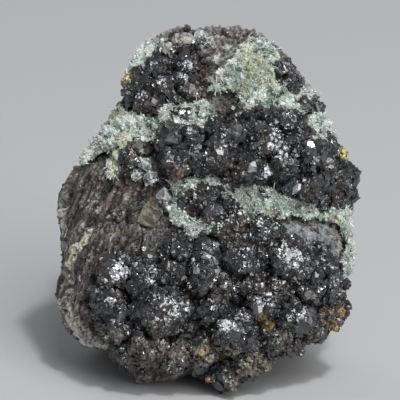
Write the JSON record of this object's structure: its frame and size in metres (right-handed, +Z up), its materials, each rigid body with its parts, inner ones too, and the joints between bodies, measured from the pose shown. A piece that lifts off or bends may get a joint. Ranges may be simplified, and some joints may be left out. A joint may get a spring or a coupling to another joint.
{
  "type": "sphalerite specimen",
  "caption": "Upright hand specimen: dark sphalerite crystal clusters and pale green quartz druse on a broken piece of banded host rock, standing on its flat base.",
  "frame": {"origin": "on the ground, under the middle of the specimen's box", "axes": "+Z up, +X to the right of someone facing its best side, which looks towards -Y"},
  "size_m": [0.0912, 0.068, 0.0971],
  "materials": {
    "host_rock": "broken, banded brown-grey rock with pale rinds and rust stains",
    "sphalerite": "black to dark grey crystals with an adamantine to resinous shine",
    "quartz_druse": "pale green, sugary crust of fine needles",
    "quartz_crystal": "smoky grey, glassy, slightly milky",
    "carbonate": "tan, satin cleavage faces"
  },
  "bodies": {
    "root": {"host_rock": "host_rock", "sphalerite_crown": "sphalerite", "sphalerite_bead": "sphalerite", "sphalerite_belt": "sphalerite", "sphalerite_shoulder": "sphalerite", "sphalerite_right_cap": "sphalerite", "sphalerite_pocket": "sphalerite", "sphalerite_left_flank": "sphalerite", "sphalerite_base": "sphalerite", "carbonate_block": "carbonate", "quartz_points_left": "quartz_crystal", "quartz_points_belt": "quartz_crystal", "quartz_points_cap": "quartz_crystal", "quartz_druse_crown_left": "quartz_druse", "quartz_druse_crown_right": "quartz_druse", "quartz_druse_right_shoulder": "quartz_druse", "quartz_druse_left_shoulder": "quartz_druse", "quartz_druse_saddle": "quartz_druse", "quartz_druse_belt": "quartz_druse"}
  },
  "joints": []
}
